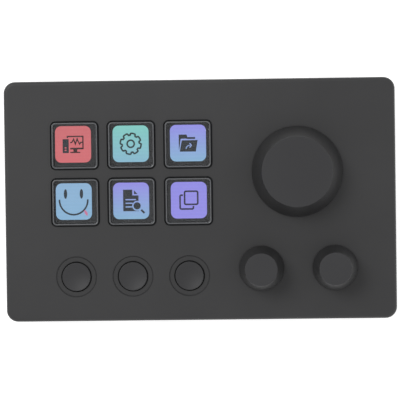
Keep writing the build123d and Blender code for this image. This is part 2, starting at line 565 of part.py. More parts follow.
# ---- Dished buttons, each on its own switch ----
for number, (x, y) in enumerate(BUTTON_PLACES, start=1):
    with BuildPart() as function_button:
        with BuildSketch(Plane(origin=(x, y, BUTTON_FLANGE_Z))):
            Rectangle(BUTTON_FLANGE, BUTTON_FLANGE)
        extrude(amount=BUTTON_FLANGE_THICKNESS)
        with BuildSketch(Plane(origin=(x, y, BUTTON_FLANGE_Z))):
            Circle(BUTTON_RADIUS)
        extrude(amount=BUTTON_TOP_Z + BUTTON_DISH_DEPTH - BUTTON_FLANGE_Z)
        # The dish's sphere trims the blank down to its rim.
        with Locations((x, y, BUTTON_TOP_Z - BUTTON_DISH_DEPTH + DISH_SPHERE)):
            Sphere(DISH_SPHERE, rotation=(90, 0, 0), mode=Mode.SUBTRACT)
    save(function_button, f"function_button_{number}")

    with BuildPart() as tact_switch:
        with BuildSketch(Plane(origin=(x, y, BOARD_TOP))):
            Rectangle(SWITCH_SIZE, SWITCH_SIZE)
        extrude(amount=SWITCH_HEIGHT)
        with BuildSketch(Plane(origin=(x, y, SWITCH_TOP))):
            Rectangle(SWITCH_WELL, SWITCH_WELL)
        extrude(
            amount=-(SWITCH_PIN_DEPTH + BUTTON_TRAVEL + SWITCH_PIN_CLEARANCE), mode=Mode.SUBTRACT
        )
    save(tact_switch, f"tact_switch_{number}")

    with BuildPart() as switch_plunger:
        with BuildSketch(Plane(origin=(x, y, SWITCH_TOP - SWITCH_PIN_DEPTH))):
            Rectangle(SWITCH_PIN_SIZE, SWITCH_PIN_SIZE)
        extrude(amount=BUTTON_FLANGE_Z - SWITCH_TOP + SWITCH_PIN_DEPTH)
    save(switch_plunger, f"switch_plunger_{number}")

# ---- Encoders: case, mounting plate with neck, shaft with flat and wheel, and presser ----
for name, (x, y) in KNOB_PLACES.items():
    with BuildPart() as encoder_case:
        with BuildSketch(Plane(origin=(x, y, BOARD_TOP))):
            Rectangle(ENCODER_LENGTH, ENCODER_DEPTH)
        extrude(amount=ENCODER_HEIGHT)
        with BuildSketch(Plane(origin=(x, y, PLATE_Z))):
            Rectangle(CHAMBER_SIZE, CHAMBER_SIZE)
        extrude(amount=-(ENCODER_HEIGHT - ENCODER_FLOOR), mode=Mode.SUBTRACT)
    save(encoder_case, f"{name}_encoder_case")

    with BuildPart() as encoder_bushing:
        with BuildSketch(Plane(origin=(x, y, PLATE_Z))):
            Rectangle(ENCODER_LENGTH, ENCODER_DEPTH)
        extrude(amount=PLATE_THICKNESS)
        with BuildSketch(Plane(origin=(x, y, PLATE_Z))):
            Circle(NECK_RADIUS)
        extrude(amount=NECK_TOP - PLATE_Z)
        with Locations((x, y, NECK_TOP)):
            Hole(SHAFT_RADIUS + SHAFT_CLEARANCE, depth=NECK_TOP - PLATE_Z)
    save(encoder_bushing, f"{name}_encoder_bushing")

    with BuildPart() as encoder_shaft:
        with BuildSketch(Plane(origin=(x, y, DETENT_WHEEL_Z))):
            RegularPolygon(DETENT_WHEEL_RADIUS, DETENTS)
        extrude(amount=DETENT_WHEEL_HEIGHT)
        with BuildSketch(Plane(origin=(x, y, DETENT_WHEEL_TOP))):
            Circle(SHAFT_RADIUS)
        extrude(amount=KNOB_CEILING_Z - DETENT_WHEEL_TOP)
        flat_z = HUB_Z - FLAT_RUN_OUT
        with BuildSketch(Plane(origin=(x + SHAFT_FLAT + SHAFT_RADIUS / 2, y, flat_z))):
            Rectangle(SHAFT_RADIUS, 2 * SHAFT_RADIUS)
        extrude(amount=KNOB_CEILING_Z - flat_z, mode=Mode.SUBTRACT)
    save(encoder_shaft, f"{name}_encoder_shaft")

    with BuildPart() as encoder_presser:
        with BuildSketch(Plane(origin=(x, y, PRESSER_Z))):
            Rectangle(PRESSER_SIZE, PRESSER_SIZE)
        extrude(amount=PRESSER_HEIGHT)
    save(encoder_presser, f"{name}_encoder_presser")


# ---- Knobs: a tapered body, hollow below, gripping the shaft by the flat of its bore ----
def make_knob(x, y, radius, top_radius, hollow_radius, hollow_depth):
    """Knob on the shaft at x, y. A hollow deeper than the encoder's neck gets a ribbed hub."""
    hollow_top = KNOB_Z + hollow_depth
    bore = SHAFT_RADIUS + KNOB_BORE_CLEARANCE
    flat = SHAFT_FLAT + KNOB_BORE_CLEARANCE
    with BuildPart() as knob:
        with BuildSketch(upright(x, y)):
            with BuildLine():
                Polyline(
                    (0, KNOB_Z), (radius, KNOB_Z), (top_radius, KNOB_TOP_Z), (0, KNOB_TOP_Z),
                    close=True,
                )
            make_face()
        revolve(axis=Axis((x, y, 0), (0, 0, 1)))
        chamfer(knob.faces().sort_by(Axis.Z)[-1].edges(), KNOB_EDGE)
        with BuildSketch(Plane(origin=(x, y, KNOB_Z))):
            Circle(hollow_radius)
        extrude(amount=hollow_depth, mode=Mode.SUBTRACT)
        if hollow_top > HUB_Z:
            with BuildSketch(Plane(origin=(x, y, HUB_Z))):
                Circle(KNOB_HUB)
                Rectangle(2 * hollow_radius, KNOB_RIB_THICKNESS)
                Rectangle(KNOB_RIB_THICKNESS, 2 * hollow_radius)
            extrude(amount=hollow_top - HUB_Z)
        with BuildSketch(Plane(origin=(x, y, HUB_Z))):
            Circle(bore)
            with Locations((flat + bore / 2, 0)):
                Rectangle(bore, 2 * bore, mode=Mode.SUBTRACT)
        extrude(amount=KNOB_CEILING_Z + KNOB_BORE_CLEARANCE - HUB_Z, mode=Mode.SUBTRACT)
    return knob


for name, (x, y) in KNOB_PLACES.items():
    if name == "large":
        knob = make_knob(
            x, y, LARGE_KNOB_RADIUS, LARGE_KNOB_TOP, LARGE_KNOB_HOLLOW,
            KNOB_HEIGHT - KNOB_TOP_THICKNESS,
        )
    else:
        knob = make_knob(
            x, y, SMALL_KNOB_RADIUS, SMALL_KNOB_TOP, SMALL_KNOB_HOLLOW, HUB_Z - KNOB_Z,
        )
    save(knob, f"{name}_knob")
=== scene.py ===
import math

import bmesh
import bpy
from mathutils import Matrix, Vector


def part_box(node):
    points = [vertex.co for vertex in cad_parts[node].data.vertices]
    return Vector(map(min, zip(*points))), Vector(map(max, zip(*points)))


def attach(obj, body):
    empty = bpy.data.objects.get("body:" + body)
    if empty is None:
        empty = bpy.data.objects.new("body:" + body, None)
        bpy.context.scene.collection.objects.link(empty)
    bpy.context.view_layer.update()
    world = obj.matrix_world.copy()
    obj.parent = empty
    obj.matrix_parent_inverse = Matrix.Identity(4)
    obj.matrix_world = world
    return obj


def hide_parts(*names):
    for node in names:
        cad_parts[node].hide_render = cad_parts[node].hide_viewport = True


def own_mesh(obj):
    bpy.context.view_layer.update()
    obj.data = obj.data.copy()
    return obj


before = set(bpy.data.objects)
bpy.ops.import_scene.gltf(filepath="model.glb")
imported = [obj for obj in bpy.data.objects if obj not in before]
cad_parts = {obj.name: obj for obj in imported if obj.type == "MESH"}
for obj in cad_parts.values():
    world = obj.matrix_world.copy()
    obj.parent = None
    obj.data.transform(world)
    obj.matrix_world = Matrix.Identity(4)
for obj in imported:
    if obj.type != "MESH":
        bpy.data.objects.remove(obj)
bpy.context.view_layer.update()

# The looks of a macro keypad: six clear keys over one display, three dished buttons and
# three knobs, in a dark moulded case. Lengths are in millimetres until a mesh is written.
MM = 0.001
KEYS = [f"key_cap_{number}" for number in range(1, 7)]
BUTTONS = [f"function_button_{number}" for number in range(1, 4)]
KNOBS = ["large_knob", "left_small_knob", "right_small_knob"]

# Key caps
CAP_SIZE = 15.5
CAP_CORNER = 1.5
CAP_EDGE_ROUND = 0.3
CAP_EDGE_STEPS = 5
CAP_RIM_FALL = 0.1           # the clear window lies this far below the rim
CAP_RIM_SLOPE = 0.25
CAP_WINDOW = 14.4            # clear part of the underside, inside the painted frame
CAP_WINDOW_CORNER = 1.2
CAP_FOOT_SIZE = 14.8
CAP_FOOT_HEIGHT = 1.0
CAP_FOOT_CORNER = 0.4
CAP_FOOT_BEVEL = 0.1
CAP_FLANGE_HEIGHT = 0.8
CAP_FLANGE_CORNER = 0.3
CAP_GAP_SHADE_DEPTH = 1.3        # black, painted shade for the gap, reaches this far down the sides, behind the gap
CAP_FINISH_RUNS = 7 * [1] + 5 * [2] + 2 * [3]   # grey lacquer with painted glow, black painted gap shade, painted edge highlight: from below up
CAP_SHARP = 12.0             # degrees past which an edge of a cap is crisp

# Rubber mat under the caps
MAT_THICKNESS = 0.5
MAT_WINDOW = 15.2
PEG_HOLE = 2.0
PEG_INSET = 1.575            # edge of the mat to the middle of a peg hole
COLLAR_HALF_OUTSIDE = 8.6
COLLAR_HALF_INSIDE = 7.8
COLLAR_ROUND = 0.25
COLLAR_CORNER_FROM = 7.5     # the corners of the collar are struck from here
COLLAR_SINK = 0.05           # the collar is rooted this deep in the sheet
COLLAR_FLARE_OUTSIDE = 0.15
COLLAR_FLARE_INSIDE = 0.1

# Lit pictures on the display, under the caps
PICTURE_WIDTH = 12.02
PICTURE_HEIGHT = 12.2
PICTURE_CORNER = 2.0
PICTURE_SHIFTS = [
    (-0.86, 0.45), (-0.41, 0.38), (-0.1, 0.37), (-0.86, 0.17), (-0.52, 0.17), (-0.07, 0.16),
]
PICTURE_LIFT = 0.02          # each layer of a picture lies this much above the last
PICTURE_THICKNESS = 0.03
STROKE = 0.54                # usual width of a line in a picture
COG_RADIUS = 3.5
COG_TEETH = 8
COG_STEPS = 240
COG_NOTCH_DEPTH = 0.64
COG_NOTCH_HALF = 7.5         # degrees from the middle of a notch to half its depth
COG_NOTCH_FIRST = 9          # degrees from the right to the middle of the first notch
COG_NOTCH_FLANK = 8          # the higher, the steeper the sides of a notch
COG_HOLE = 1.19
CLOSED_SHARE = 0.05          # share of the backlight that closed pixels let through

# Dished buttons
BUTTON_RADIUS = 4.75
BUTTON_RIM_ROUND = 0.3
BUTTON_DISH_DEPTH = 0.7
BUTTON_DISH_STEPS = 12
BUTTON_CREST_LIFT = 0.02     # the round of the rim, carried to its top, ends this far above the dish
BUTTON_FLANGE_HEIGHT = 1.0
BUTTON_FLANGE_CORNER = 0.4
BUTTON_FLANGE_BEVEL = 0.1

# Knobs
KNOB_TOP_RADIUS = {"large_knob": 11.6, "left_small_knob": 5.35, "right_small_knob": 5.35}
KNOB_HOLLOW_RADIUS = {"large_knob": 11.0, "left_small_knob": 5.5, "right_small_knob": 5.5}
KNOB_HOLLOW_DEPTH = {"large_knob": 8.3, "left_small_knob": 2.3, "right_small_knob": 2.3}
KNOB_HUB_BOTTOM = 2.3
KNOB_HUB_RADIUS = 5.0
KNOB_TOP_THICKNESS = 1.87
KNOB_EDGE_ROUND = 0.3
KNOB_SKIRT_ROUND = 0.25
KNOB_SIDES = 144
KNOB_TOP_RING = 0.5          # points in the flat of the top lie at this share of its radius
KNOB_PAINTED_SHADE_FROM = 7           # rings of faces, from the middle of the top, that keep the top's own colour, without the painted shade
KNOB_BORE = 3.03
KNOB_BORE_FLAT = 1.53

# Screws and receptacle
SCREW_HEAD = 2.3
SCREW_HEAD_HEIGHT = 1.6
SCREW_SHANK = 1.25
SCREW_HEAD_ROUND = 0.35
SCREW_RECESS = 1.35          # from the middle to the end of an arm
SCREW_RECESS_SLOT = 0.38     # half the width of an arm
SCREW_RECESS_DEPTH = 1.0
SCREW_RECESS_TAPER = 0.55    # bottom of the recess, as a share of its mouth
THREAD_TURNS = 14
THREAD_PITCH = 0.45
THREAD_START = 0.5
THREAD_DEPTH = 0.2
THREAD_FLANK = 0.22          # crest to root, along the screw
SCREW_POINT_FROM = 7.2
SCREW_POINT_STEP = 0.05
SCREW_POINT_DEPTH = 0.5
TONGUE_THICKNESS = 0.7
CONTACTS = 12
CONTACT_PITCH = 0.5
CONTACT_WIDTH = 0.28
CONTACT_LENGTH = 3.2
CONTACT_THICKNESS = 0.08     # half of it is sunk in the tongue
CONTACT_SETBACK = 0.3

# Patterns
WAVE_TURN = 20               # radians that a wave texture of scale 1 turns in a metre
PIXEL_ROW_SCALE = 250.0      # rows of pixels 1.3 mm apart, coarser than real so that they show
TRACK_EDGE = 0.12
TRACK_RUN = 3.1
TRACK_PITCH = 1.3
VIA_PITCH = 4.0
VIA_RADIUS = 0.1             # as a share of the pitch

# Floor, light and camera, in metres, watts and millimetres of lens
FLOOR_Z = -0.0001            # just clear of the soles of the feet
FLOOR_REACH = 6
FLOOR_GLOW = 0.68            # what the floor adds to its lit colour where it is seen
ROOM_LOW = 0.78              # strength of the room's light from the side
ROOM_HIGH = 0.5              # and from above
ROOM_FALL = (0.45, 0.95)     # upward parts of the directions between which it falls
ROOM_LEAN = (0.18, -0.16, 0)         # the room is brighter on this side
SOFTBOX_SIZE = 0.5
SOFTBOX_POWER = 3.8
SOFTBOX_PLACE = (-0.46, 0.40, 0.85)
CAMERA_LENS = 216.0
CAMERA_SENSOR = 36.0
CAMERA_REACH = 20.0          # farther things are out of its sight
CAMERA_PLACE = (0.02948, 0.02032, 0.81179)
# One turn from looking straight down: its axis, as long as the turn is in degrees.
CAMERA_TURN = (-1.477, 2.107, -0.736)


# ---- Nodes and materials ----
def colour(text):
    """An sRGB hex value as the linear colour that a shader takes."""
    parts = [int(text[i:i + 2], 16) / 255 for i in (1, 3, 5)]
    return [c / 12.92 if c <= 0.04045 else ((c + 0.055) / 1.055) ** 2.4 for c in parts] + [1]


def put(tree, kind, settings=None, inputs=None):
    """Add one node, with its own settings, and set or link its inputs by name or number."""
    made = tree.nodes.new(kind)
    for name, value in (settings or {}).items():
        setattr(made, name, value)
    for name, value in (inputs or {}).items():
        if isinstance(value, bpy.types.NodeSocket):
            tree.links.new(value, made.inputs[name])
        else:
            made.inputs[name].default_value = value
    return made


def start_material(name, **constants):
    """A new material, its shader with the constant values set, and its object coordinates."""
    made = bpy.data.materials.new(name)
    made.use_nodes = True
    tree = made.node_tree
    shader = next(n for n in tree.nodes if n.type == "BSDF_PRINCIPLED")
    for socket, value in constants.items():
        shader.inputs[socket.replace("_", " ")].default_value = value
    place = put(tree, "ShaderNodeTexCoord").outputs["Object"]
    return made, tree, shader, place


def speckle(tree, place, size, detail=2.0):
    """Noise whose patches are about size millimetres across. It runs from about 0.3 to 0.7."""
    inputs = {"Vector": place, "Scale": 1 / (size * MM), "Detail": detail}
    return put(tree, "ShaderNodeTexNoise", inputs=inputs).outputs["Fac"]


def between(tree, value, low, high, from_low=0.3, from_high=0.7):
    """Value, which runs from from_low to from_high, stretched to run from low to high."""
    return put(tree, "ShaderNodeMapRange", inputs={
        "Value": value, "From Min": from_low, "From Max": from_high, "To Min": low, "To Max": high,
    }).outputs["Result"]


def mixed(tree, factor, first, second):
    """Two colours mixed by factor."""
    made = put(tree, "ShaderNodeMix", {"data_type": "RGBA"}, {0: factor, 6: first, 7: second})
    return made.outputs[2]


def relief(tree, shader, height, depth, strength=1.0):
    """Bump of depth millimetres on the shader."""
    inputs = {"Height": height, "Distance": depth * MM, "Strength": strength}
    tree.links.new(put(tree, "ShaderNodeBump", inputs=inputs).outputs["Normal"], shader.inputs["Normal"])


def moulded(name, dark, light, grain, depth, smooth, rough, **constants):
    """Injection-moulded plastic: a fine skin from the spark-eroded tool, which breaks up its
    sheen, over a colour that clouds a little across the part as the melt cools."""
    made, tree, shader, place = start_material(name, **constants)
    cloud = speckle(tree, place, 28)
    skin = speckle(tree, place, grain, 3)
    tint = between(tree, cloud, 0.0, 0.75)
    fleck = between(tree, skin, -0.2, 0.25)
    both = put(tree, "ShaderNodeMath", {"operation": "ADD", "use_clamp": True}, {0: tint, 1: fleck})
    colours = mixed(tree, both.outputs[0], colour(dark), colour(light))
    tree.links.new(colours, shader.inputs["Base Color"])
    tree.links.new(between(tree, skin, smooth, rough), shader.inputs["Roughness"])
    relief(tree, shader, skin, depth)
    return made


def turned_metal(name, dark, light, step, smooth, rough, rings=True):
    """Machined or drawn metal: parallel tool lines that stretch the highlights. Two lines lie
    about six steps apart, coarser than real so that they show."""
    made, tree, shader, place = start_material(name, Metallic=1.0)
    kind = {"wave_type": "BANDS", "bands_direction": "Z"}
    lines = put(tree, "ShaderNodeTexWave", kind, {
        "Vector": place, "Scale": 1 / (step * MM) / WAVE_TURN, "Distortion": 1.5 if rings else 4.0,
        "Detail": 3.0,
    }).outputs["Fac"]
    cloud = speckle(tree, place, 2.5)
    tree.links.new(mixed(tree, cloud, colour(dark), colour(light)), shader.inputs["Base Color"])
    tree.links.new(between(tree, cloud, smooth, rough), shader.inputs["Roughness"])
    relief(tree, shader, lines, 0.004)
    return made


# Black ABS with a fine spark-eroded skin: dark grey under soft light, with a dull sheen.
case_abs = moulded("spark-eroded black ABS", "#303031", "#363637", 0.35, 0.012, 0.42, 0.56)
# The same ABS from a finer tool: an even, dull satin on the tops of the knobs.
knob_abs = moulded("satin black ABS", "#2f2f31", "#353537", 0.3, 0.006, 0.6, 0.68)
# Knob flanks: nearly black, a painted shade that keeps them dark against the tops, with a stronger satin
# sheen that shows what they reflect.
knob_flank_painted_shade = moulded(
    "knob flank painted shade", "#0f0f11", "#131315", 0.3, 0.004, 0.52, 0.6, Specular_IOR_Level=1.0,
)
# Buttons are finer again, and their dishes hold a broad, soft sheen.
button_abs = moulded("silky black ABS", "#2e2e30", "#343436", 0.3, 0.005, 0.5, 0.56)
# Black PC-ABS for the frames inside, flat and deep; on the caps' upper sides the same near-black is painted
# shade for the gaps.
black_pc_and_gap_shade = moulded("matt black PC-ABS", "#0b0b0c", "#101011", 0.4, 0.001, 0.62, 0.72)
# Epoxy moulding compound of the chip, and the like resin of the switches: brown-black, dull.
epoxy = moulded("epoxy moulding compound", "#151516", "#1c1b1a", 0.15, 0.008, 0.6, 0.75)
# Nylon of the ribbon's connector: warm off-white with a soft gloss.
ivory_nylon = moulded("ivory nylon", "#dcd4bf", "#e8e1cd", 0.4, 0.008, 0.4, 0.55)
# Opal acrylic that spreads the backlight: milky white.
opal_acrylic = moulded("opal acrylic", "#dfe3e6", "#eef1f3", 0.5, 0.004, 0.3, 0.4)
# Moulded liquid silicone: dark grey and dull, with the dust that it gathers.
silicone = moulded("moulded grey silicone", "#1b1c1e", "#242628", 0.45, 0.01, 0.6, 0.75, Coat_Weight=0.05)
# Natural rubber feet: black, almost without shine, with a fine moulded grit.
rubber = moulded("moulded black rubber", "#131313", "#1d1d1d", 0.4, 0.04, 0.78, 0.92)
# Grey lacquer under and round the foot of the clear caps, seen through them: its lighter grey and faint glow
# are painted light that lifts the shade inside each cap.
cap_lacquer_painted_glow = moulded(
    "grey lacquer", "#393b3d", "#3f4143", 2.0, 0.001, 0.4, 0.5, Emission_Color=colour("#0d0e10"),
    Emission_Strength=1.0,
)
# Lighter grey on the rounded top edge of each cap: a painted highlight for the thin light line round each
# key.
cap_edge_painted_highlight = moulded("cap edge painted highlight", "#606265", "#68696c", 0.3, 0.002, 0.22, 0.3)
# Nickel-plated zinc of the encoders' necks and shafts: soft grey, ringed by the tool.
plated_zinc = turned_metal("nickel-plated zinc die casting", "#8f9092", "#b4b5b7", 0.2, 0.28, 0.42)
# Stainless steel drawn into the receptacle's shell: brighter, with wandering draw lines.
steel_shell = turned_metal("drawn stainless steel", "#9a9c9f", "#bcbec1", 0.25, 0.22, 0.34, rings=False)
# Black zinc plating on the screws: dark, with a soft metallic edge.
screw_steel = turned_metal("black zinc-plated steel", "#2f3032", "#4a4b4d", 0.15, 0.3, 0.45)
# Gold plating on the receptacle's contacts: warm and bright.
gold = turned_metal("gold-plated bronze", "#c79a45", "#dcb565", 0.1, 0.2, 0.3, rings=False)


def make_clear_pmma():
    """Cast and polished acrylic: water-clear, with a sharp gloss and the faint waviness of a
    moulded face."""
    made, tree, shader, place = start_material("clear polished PMMA", IOR=1.49, Transmission_Weight=1.0)
    ripple = speckle(tree, place, 5, 1)
    tint = mixed(tree, ripple, colour("#f4f7f8"), colour("#ffffff"))
    tree.links.new(tint, shader.inputs["Base Color"])
    tree.links.new(between(tree, ripple, 0.0, 0.02), shader.inputs["Roughness"])
    relief(tree, shader, ripple, 0.003)
    return made


def make_panel():
    """Front polariser of the display, with an anti-glare grain: dark grey where no picture is
    lit, as some backlight leaks through, with its rows of pixels drawn coarser than real."""
    made, tree, shader, place = start_material(
        "anti-glare polariser film", IOR=1.5, Specular_IOR_Level=0.15,
        Emission_Color=colour("#0d0e10"), Emission_Strength=1.0,
    )
    rows = put(tree, "ShaderNodeTexWave", {"bands_direction": "Y"}, {
        "Vector": place, "Scale": PIXEL_ROW_SCALE,
    }).outputs["Fac"]
    grain = speckle(tree, place, 0.2, 2)
    tree.links.new(mixed(tree, rows, colour("#2f3134"), colour("#34363a")), shader.inputs["Base Color"])
    tree.links.new(between(tree, grain, 0.35, 0.5), shader.inputs["Roughness"])
    relief(tree, shader, grain, 0.003)
    return made


def make_lit(name, top, bottom, low, high, open_share):
    """Liquid crystal pixels lit from behind: glowing colour that runs from top to bottom of
    one picture, faintly barred by the rows of pixels. Open_share of the light comes through."""
    made, tree, shader, place = start_material(
        name, Base_Color=(0.01, 0.01, 0.01, 1), Specular_IOR_Level=0.15, Emission_Strength=open_share,
    )
    up = put(tree, "ShaderNodeSeparateXYZ", inputs={0: place}).outputs["Y"]
    run = between(tree, up, 0.0, 1.0, low * MM, high * MM)
    rows = put(tree, "ShaderNodeTexWave", {"bands_direction": "Y"}, {
        "Vector": place, "Scale": PIXEL_ROW_SCALE,
    }).outputs["Fac"]
    glow = mixed(tree, run, colour(bottom), colour(top))
    barred = between(tree, rows, 0.97, 1.0, 0.0, 1.0)
    dim = put(tree, "ShaderNodeVectorMath", {"operation": "SCALE"}, {0: glow, "Scale": barred})
    tree.links.new(dim.outputs[0], shader.inputs["Emission Color"])
    tree.links.new(between(tree, speckle(tree, place, 0.2), 0.35, 0.5), shader.inputs["Roughness"])
    return made


def make_ink(name, dark, light):
    """Pixels of one colour inside a picture, with a faint grain."""
    made, tree, shader, place = start_material(
        name, Specular_IOR_Level=0.15, Emission_Strength=1.0, Base_Color=(0.01, 0.01, 0.01, 1),
    )
    grain = speckle(tree, place, 0.25)
    tree.links.new(mixed(tree, grain, colour(dark), colour(light)), shader.inputs["Emission Color"])
    tree.links.new(between(tree, grain, 0.35, 0.5), shader.inputs["Roughness"])
    return made


def make_board():
    """Glass-epoxy board under green solder mask: glossy, with the copper tracks standing out
    as paler lines and tinned dots where they change sides."""
    made, tree, shader, place = start_material("FR4 with green solder mask", IOR=1.55)
    tracks = put(tree, "ShaderNodeTexBrick", {"offset": 0.5}, {
        "Vector": place, "Color1": (0, 0, 0, 1), "Color2": (0.15, 0.15, 0.15, 1), "Mortar": (1, 1, 1, 1),
        "Scale": 1 / MM, "Mortar Size": TRACK_EDGE, "Brick Width": TRACK_RUN, "Row Height": TRACK_PITCH,
    }).outputs["Color"]
    dots = put(tree, "ShaderNodeTexVoronoi", inputs={"Vector": place, "Scale": 1 / (VIA_PITCH * MM)})
    inside = {0: dots.outputs["Distance"], 1: VIA_RADIUS}
    hole = put(tree, "ShaderNodeMath", {"operation": "LESS_THAN"}, inside).outputs[0]
    mask = mixed(tree, tracks, colour("#123d25"), colour("#1f6038"))
    tree.links.new(mixed(tree, hole, mask, colour("#b9bcb8")), shader.inputs["Base Color"])
    tree.links.new(between(tree, speckle(tree, place, 1.0), 0.25, 0.4), shader.inputs["Roughness"])
    relief(tree, shader, tracks, 0.03)
    return made


def make_striped(name, base, line, width, smooth, rough, direction):
    """Flexible film with parallel conductors printed or laminated in it, each of that width in
    millimetres and as far from the next, drawn coarser than real so that they show."""
    made, tree, shader, place = start_material(name)
    bars = put(tree, "ShaderNodeTexWave", {"bands_direction": direction}, {
        "Vector": place, "Scale": 1 / (width * MM) / WAVE_TURN * math.pi,
    }).outputs["Fac"]
    crisp = between(tree, bars, 0.0, 1.0, 0.45, 0.55)
    tree.links.new(mixed(tree, crisp, colour(base), colour(line)), shader.inputs["Base Color"])
    tree.links.new(between(tree, speckle(tree, place, 1.5), smooth, rough), shader.inputs["Roughness"])
    relief(tree, shader, crisp, 0.01)
    return made


clear_pmma = make_clear_pmma()
panel_film = make_panel()
ink = make_ink("dark liquid crystal", "#1c222b", "#252b33")
pink = make_ink("lit pink pixels", "#c96f94", "#d07c9e")
board_fr4 = make_board()
# Polyimide over rolled copper: amber, with the conductors glowing through.
polyimide = make_striped("copper-clad polyimide", "#a5591b", "#c97a34", 1.0, 0.3, 0.4, "Y")
# Polyester sheet with printed silver tracks: milky film, dull grey lines.
polyester = make_striped("printed polyester film", "#7d8180", "#5d6161", 2.4, 0.3, 0.45, "X")

FINISHES = {
    "top_cover": case_abs, "bottom_cover": case_abs,
    "foot_strip_front": rubber, "foot_strip_rear": rubber,
    "main_board": board_fr4, "controller_chip": epoxy,
    "usb_c_shell": steel_shell, "usb_c_tongue": black_pc_and_gap_shade,
    "display_tray": black_pc_and_gap_shade, "display_backlight": opal_acrylic, "display_glass": panel_film,
    "display_ribbon": polyimide, "ribbon_connector": ivory_nylon, "contact_sheet": polyester,
    "key_guide": black_pc_and_gap_shade,
}
for number in range(1, 4):
    FINISHES[f"tact_switch_{number}"] = epoxy
    FINISHES[f"switch_plunger_{number}"] = black_pc_and_gap_shade
for side in ("large", "left_small", "right_small"):
    FINISHES[f"{side}_encoder_case"] = epoxy
    FINISHES[f"{side}_encoder_bushing"] = plated_zinc
    FINISHES[f"{side}_encoder_shaft"] = plated_zinc
    FINISHES[f"{side}_encoder_presser"] = black_pc_and_gap_shade
for name, finish in FINISHES.items():
    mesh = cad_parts[name].data
    mesh.materials.clear()
    mesh.materials.append(finish)


# ---- Meshes ----
def make_piece(name, points, faces, finishes, sharp=35.0, face_finishes=None):
    """A named mesh from points in millimetres: doubles merged, faces outwards, edges sharper
    than so many degrees kept crisp and the rest shaded round."""
    mesh = bpy.data.meshes.new(name)
    mesh.from_pydata([Vector(p) * MM for p in points], [], faces)
    for finish in finishes:
        mesh.materials.append(finish)
    if face_finishes:
        mesh.polygons.foreach_set("material_index", face_finishes)
    finish_mesh(mesh, sharp)
    made = bpy.data.objects.new(name, mesh)
    bpy.context.scene.collection.objects.link(made)
    return made


def finish_mesh(mesh, sharp):
    """Merge doubles, turn the faces outwards and mark the crisp edges."""
    work = bmesh.new()
    work.from_mesh(mesh)
    bmesh.ops.remove_doubles(work, verts=work.verts, dist=1e-7)
    bmesh.ops.recalc_face_normals(work, faces=work.faces)
    for face in work.faces:
        face.smooth = True
    for edge in work.edges:
        edge.smooth = len(edge.link_faces) == 2 and edge.calc_face_angle(0) < math.radians(sharp)
    work.to_mesh(mesh)
    work.free()


def stacked(loops):
    """Points and faces of a closed body whose level outlines follow one another. An outline
    of one point closes the body there."""
    points, faces, starts = [], [], []
    for loop in loops:
        starts.append(len(points))
        points += loop
    for lower, upper, a, b in zip(loops, loops[1:], starts, starts[1:]):
        count = max(len(lower), len(upper))
        for i in range(count):
            j = (i + 1) % count
            corners = [a + i % len(lower), a + j % len(lower), b + j % len(upper), b + i % len(upper)]
            faces.append([c for n, c in enumerate(corners) if c not in corners[:n]])
    for loop, start in ((loops[0], starts[0]), (loops[-1], starts[-1])):
        if len(loop) > 1:
            faces.append(list(range(start, start + len(loop))))
    return points, faces


def turned(x, y, profile, count=96):
    """A body turned about the upright axis at x, y. Each profile point is (radius, height), or
    (shape, height) where shape gives the radius at an angle."""
    loops = []
    for radius, z in profile:
        if radius == 0:
            loops.append([(x, y, z)])
            continue
        at = radius if callable(radius) else lambda angle, radius=radius: radius
        angles = [2 * math.pi * i / count for i in range(count)]
        loops.append([(x + at(a) * math.cos(a), y + at(a) * math.sin(a), z) for a in angles])
    return stacked(loops)


def corner_round(radius, height, size, start, end, steps=5):
    """Profile points round a corner, about a centre set in by size."""
    angles = [math.radians(start + (end - start) * i / steps) for i in range(steps + 1)]
    return [(radius + size * math.cos(a), height + size * math.sin(a)) for a in angles]


def square_outline(x, y, width, height, corner, steps=6):
    """Points of a square with round corners, anticlockwise from the right."""
    points = []
    for turn, (sx, sy) in enumerate(((1, 1), (-1, 1), (-1, -1), (1, -1))):
        for i in range(steps + 1):
            a = math.pi / 2 * (turn + i / steps)
            points.append((
                x + sx * (width / 2 - corner) + corner * math.cos(a),
                y + sy * (height / 2 - corner) + corner * math.sin(a),
            ))
    return points


def extent(node):
    """Lowest and highest corner of a CAD node, and its middle, in millimetres."""
    low, high = (Vector(v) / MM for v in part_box(node))
    return low, high, (low + high) / 2


# ---- Knobs: a tapered body with a softly broken edge, a hollow below and a D-shaped bore ----
def bore_shape(angle):
    """Radius of the knob's bore, cut off by its flat."""
    run = math.cos(angle)
    return min(KNOB_BORE, KNOB_BORE_FLAT / run) if run > 0 else KNOB_BORE


